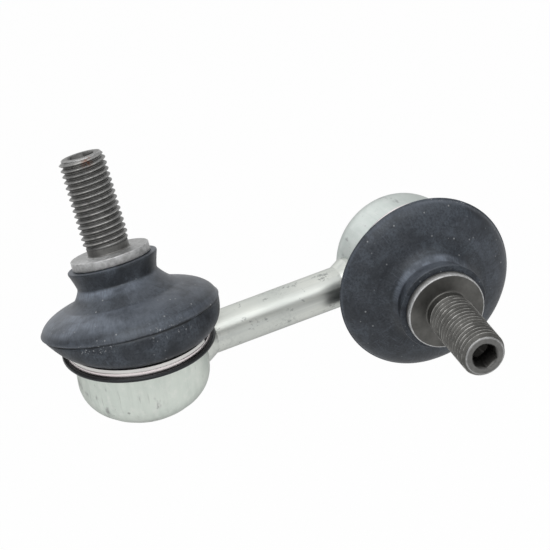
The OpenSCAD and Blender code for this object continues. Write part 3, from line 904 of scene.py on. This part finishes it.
# How far the lean pulls the fold straight, most on the side the stud leans away from
def tautShare(b, place, angle):
    away = place["housing"].to_3x3().inverted() @ place["studAxis"]
    bearing = math.atan2(away.y, away.x)
    return min(1, math.degrees(place["lean"]) / b["tautLean"] * (1 - math.cos(angle - bearing)) / 2)


def rubberBoot(side):
    place = places[side]
    b = bootSizes
    count = b["columns"]
    inside = bootInside(b)
    slack = bootOutside(b, side, False) + inside
    taut = bootOutside(b, side, True) + inside
    outsideRings = len(slack) - len(inside)
    beadTop = b["beadLow"] + b["beadThickness"]
    runs = [0.0]
    for first, last in zip(slack, slack[1:]):
        runs.append(runs[-1] + math.dist(first, last))
    mesh = bmesh.new()
    turnedFaces(mesh, slack, count, loop=True)
    piece = finishMesh(side + "Boot", mesh, bootFinish, sharpAngles["boot"])
    bloomAndHighlight, bead, seam, skin, shares, bends = [], [], [], [], [], []
    for vert in piece.data.vertices:
        ring, column = divmod(vert.index, count)
        angle = 2 * math.pi * column / count
        pull = tautShare(b, place, angle)
        radius, height = (s + (t - s) * pull for s, t in zip(slack[ring], taut[ring]))
        around = Vector((math.cos(angle), math.sin(angle), 0))
        vert.co = (around * radius + Vector((0, 0, height))) * mm
        isOutside = ring < outsideRings
        bloomAndHighlight.append(bloomAndHighlightAt(b, side, angle, radius, height) if isOutside else 0.0)
        bead.append(1.0 if height < beadTop + near else 0.0)
        fromLine = abs(height - b["mouldHeight"] + b["lineDrop"])
        seam.append(max(0, 1 - fromLine / b["lineReach"]) if isOutside else 0.0)
        skin += [*(around.xy * b["radius"]), runs[ring]]
        shares.append(leanShare(b, height))
        outward = smooth((radius - b["rootRadius"]) / (b["radius"] - b["rootRadius"]))
        bends.append(shares[-1] * (1 - b["lobeStay"] * outward))
    for name, values in (("bloomAndHighlight", bloomAndHighlight), ("bead", bead), ("seam", seam)):
        pointValues(piece, name, values)
    piece.data.attributes.new("skin", "FLOAT_VECTOR", "POINT").data.foreach_set("vector", skin)
    piece.data.transform(place["housing"])
    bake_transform(piece)
    # The straight boot takes its rest lean by its shares
    for vert, share in zip(piece.data.vertices, shares):
        turn = Matrix.Rotation(share * place["lean"], 3, place["leanAxis"])
        vert.co = place["ball"] + turn @ (vert.co - place["ball"])
    piece.data.update()
    # Dust lies on what faces up at rest
    upward = [smooth((v.normal.z - dustFall["from"]) / dustFall["over"]) for v in piece.data.vertices]
    pointValues(piece, "dust", [dustFall["share"] * share for share in upward])
    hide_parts(side + "_boot")


for side in sides:
    rubberBoot(side)
print("boots moulded")


# Split ring of flat wire, wound in two layers
clipSizes = {
    "Radius": 14.92,
    "Wire Height": 0.9,
    "Wire Thickness": 1.0,
    "Corner": 0.12,
    "Low": 4.27,
    "Rise": 0.92,
    "Start": 30.0,
    "Finish": 690.0,
    "Cross": 30.0,
}
clipBearing = 341
clipSteps = {"wire": 331, "corner": 4}


def clipTree():
    tree, given = startTree("windClip", [(key, "NodeSocketFloat") for key in clipSizes])
    line = put(tree, "GeometryNodeCurvePrimitiveLine")
    path = put(tree, "GeometryNodeResampleCurve", {
        "Curve": line.outputs[0], "Count": clipSteps["wire"]}, mode="COUNT")
    along = put(tree, "GeometryNodeSplineParameter").outputs["Factor"]
    sweep = calc(tree, "SUBTRACT", given["Finish"], given["Start"])
    degrees = calc(tree, "ADD", given["Start"], scaled(tree, along, sweep))
    angle = calc(tree, "RADIANS", degrees)
    crossing = calc(tree, "SUBTRACT", 360, calc(tree, "DIVIDE", given["Cross"], 2))
    past = calc(tree, "SUBTRACT", degrees, crossing)
    share = calc(tree, "DIVIDE", past, given["Cross"], clamp=True)
    rising = calc(tree, "SUBTRACT", 3, scaled(tree, share, 2))
    ease = scaled(tree, scaled(tree, share, share), rising)
    middleHeight = calc(tree, "ADD", given["Low"], calc(tree, "DIVIDE", given["Wire Height"], 2))
    height = calc(tree, "ADD", middleHeight, scaled(tree, ease, given["Rise"]))
    point = put(tree, "ShaderNodeCombineXYZ", {
        0: scaled(tree, given["Radius"], calc(tree, "COSINE", angle)),
        1: scaled(tree, given["Radius"], calc(tree, "SINE", angle)),
        2: height})
    marked = put(tree, "GeometryNodeStoreNamedAttribute", {
        "Geometry": path.outputs[0], "Name": "upper", "Value": ease}, data_type="FLOAT", domain="POINT")
    wound = put(tree, "GeometryNodeSetPosition", {
        "Geometry": marked.outputs[0], "Position": point.outputs[0]})
    upright = put(tree, "GeometryNodeSetCurveNormal", {"Curve": wound.outputs[0]}, mode="Z_UP")
    section = put(tree, "GeometryNodeCurvePrimitiveQuadrilateral", {
        "Width": given["Wire Thickness"], "Height": given["Wire Height"]})
    rounded = put(tree, "GeometryNodeFilletCurve", {
        "Curve": section.outputs[0], "Count": clipSteps["corner"], "Radius": given["Corner"]}, mode="POLY")
    swept = put(tree, "GeometryNodeCurveToMesh", {
        "Curve": upright.outputs[0], "Profile Curve": rounded.outputs[0], "Fill Caps": True})
    endTree(tree, swept.outputs[0], clipFinish)
    return tree


clipMesh = runTree("wire", clipTree(), clipSizes)
clipMesh.transform(Matrix.Rotation(math.radians(clipBearing), 4, "Z") @ Matrix.Scale(mm, 4))
for side in sides:
    wire = bmesh.new()
    wire.from_mesh(clipMesh)
    clip = finishMesh(side + "Clip", wire, clipFinish, sharpAngles["clip"], places[side]["housing"])
    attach(clip, side + "_cover")
    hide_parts(side + "_boot_clip")
print("clips wound")


# CAD nodes that keep their own shape
def dress(node, material):
    shown = frame["nodes"][node]
    shown.data.materials.clear()
    shown.data.materials.append(material)


dress("link_rod", barFinish)
for side in sides:
    dress(side + "_housing", cupFinishes[side])
    dress(side + "_ball_seat", seatFinish)
    dress(side + "_seat_washer", steelFinish)
    dress(side + "_boot_ring", steelFinish)
print("CAD nodes dressed")


# Floor of one pale sheet, white to the eye and to reflections
stageSizes = {"drop": 0.12, "half": 6.0, "white": 0.98, "matt": 0.86}
middle = (cadLow + cadHigh) / 2


def stageSheet(name, corners, material):
    data = bpy.data.meshes.new(name)
    data.from_pydata(corners, [], [(0, 1, 2, 3)])
    data.materials.append(material)
    sheet = bpy.data.objects.new(name, data)
    scene.collection.objects.link(sheet)
    return sheet


# How far a ray shows the background: to the eye, in metal and through glass
def seenShare(tree):
    seen = put(tree, "ShaderNodeLightPath")
    share = calc(tree, "MAXIMUM", seen.outputs["Is Camera Ray"], seen.outputs["Is Glossy Ray"])
    return calc(tree, "MAXIMUM", share, seen.outputs["Is Transmission Ray"])


def paleFloor():
    material, tree = bareMaterial("paleFloor")
    matt = put(tree, "ShaderNodeBsdfDiffuse", {"Color": (*grey(stageSizes["matt"]), 1)})
    glow = put(tree, "ShaderNodeEmission", {"Color": (1, 1, 1, 1), "Strength": 1.0})
    share = scaled(tree, seenShare(tree), stageSizes["white"])
    mixed = put(tree, "ShaderNodeMixShader", {0: share, 1: matt.outputs[0], 2: glow.outputs[0]})
    # Views from below look through the floor
    under = put(tree, "ShaderNodeNewGeometry").outputs["Backfacing"]
    clear = put(tree, "ShaderNodeBsdfTransparent")
    shown = put(tree, "ShaderNodeMixShader", {0: under, 1: mixed.outputs[0], 2: clear.outputs[0]})
    put(tree, "ShaderNodeOutputMaterial", {"Surface": shown.outputs[0]})
    half = stageSizes["half"]
    corners = [(x * half, y * half, -stageSizes["drop"]) for x, y in ((-1, -1), (1, -1), (1, 1), (-1, 1))]
    stageSheet("floor", corners, material)


paleFloor()

# Grey cards out of view, which metal needs round it to show its shape
cardSizes = {
    "front": {"azimuth": -20, "distance": 2.3, "width": 2.6, "top": 0.4, "level": 0.03},
    "near": {"azimuth": 25, "distance": 0.95, "width": 0.9, "top": 0.20, "level": 0.03},
    "left": {"azimuth": -110, "distance": 1.7, "width": 1.8, "top": 0.9, "level": 0.16},
    "right": {"azimuth": 70, "distance": 1.7, "width": 1.8, "top": 0.9, "level": 0.16},
}


def greyCard(name, azimuth, distance, width, top, level):
    material, tree = bareMaterial(name)
    matt = put(tree, "ShaderNodeBsdfDiffuse", {"Color": (*grey(level), 1)})
    put(tree, "ShaderNodeOutputMaterial", {"Surface": matt.outputs[0]})
    away = math.radians(azimuth)
    foot = middle + Vector((math.sin(away), -math.cos(away), 0)) * distance
    across = Vector((math.cos(away), math.sin(away), 0)) * width / 2
    low, high = -stageSizes["drop"], top
    ends = ((foot - across, low), (foot + across, low), (foot + across, high), (foot - across, high))
    card = stageSheet(name, [(spot.x, spot.y, height) for spot, height in ends], material)
    card.visible_camera = False    # other views look through the cards


for name, values in cardSizes.items():
    greyCard(name + "Card", **values)

# Soft studio light
lampSizes = {
    "key": {"spot": (-0.30, -0.70, 0.62), "size": 0.7, "power": 5.0},
    "fill": {"spot": (0.28, -0.68, 0.42), "size": 0.34, "power": 0.6},
    "back": {"spot": (-0.10, 0.68, 0.72), "size": 0.8, "power": 0.6},
}
ambient = 0.5


def softLamp(name, spot, size, power):
    lamp = bpy.data.lights.new(name, "AREA")
    lamp.shape = "SQUARE"
    lamp.size = size
    lamp.energy = power
    holder = bpy.data.objects.new(name, lamp)
    holder.location = middle + Vector(spot)
    holder.rotation_mode = "QUATERNION"
    holder.rotation_quaternion = (middle - holder.location).to_track_quat("-Z", "Y")
    scene.collection.objects.link(holder)


for name, values in lampSizes.items():
    softLamp(name + "Lamp", **values)


def whiteWorld():
    world = bpy.data.worlds.new("studio")
    world.use_nodes = True
    tree = world.node_tree
    tree.nodes.clear()
    strength = calc(tree, "ADD", ambient, scaled(tree, seenShare(tree), 1 - ambient))
    back = put(tree, "ShaderNodeBackground", {"Color": (1, 1, 1, 1), "Strength": strength})
    put(tree, "ShaderNodeOutputWorld", {"Surface": back.outputs[0]})
    scene.world = world


whiteWorld()
scene.view_settings.view_transform = "Standard"


# Camera at the photograph's viewing angle
viewpoint = {
    "azimuth": -20.08,
    "elevation": 10.61,
    "roll": -16.51,
    "distance": 1.6237,
    "pixelsPerMetre": 4733.2,
    "aimRight": 0.21,
    "aimUp": 7.40,
    "imageSize": 550,
    "sensorWidth": 36.0,
    "clipEnd": 50,
}


def photoCamera(v):
    azimuth, elevation = math.radians(v["azimuth"]), math.radians(v["elevation"])
    flat = Vector((math.sin(azimuth), -math.cos(azimuth), 0))
    back = flat * math.cos(elevation) + Vector((0, 0, math.sin(elevation)))
    level = Vector((math.cos(azimuth), math.sin(azimuth), 0))
    right = Matrix.Rotation(math.radians(v["roll"]), 3, back) @ level
    up = back.cross(right)
    centre = (places["left"]["ball"] + places["right"]["ball"]) / 2
    aim = centre + right * v["aimRight"] * mm + up * v["aimUp"] * mm
    data = bpy.data.cameras.new("camera")
    data.sensor_width = v["sensorWidth"]
    data.lens = v["pixelsPerMetre"] * v["distance"] / v["imageSize"] * data.sensor_width
    data.clip_end = v["clipEnd"]
    camera = bpy.data.objects.new("camera", data)
    turn = Matrix((right, up, back)).transposed().to_4x4()
    camera.matrix_world = Matrix.Translation(aim + back * v["distance"]) @ turn
    scene.collection.objects.link(camera)
    scene.camera = camera


photoCamera(viewpoint)
print("stage, lamps and camera set")
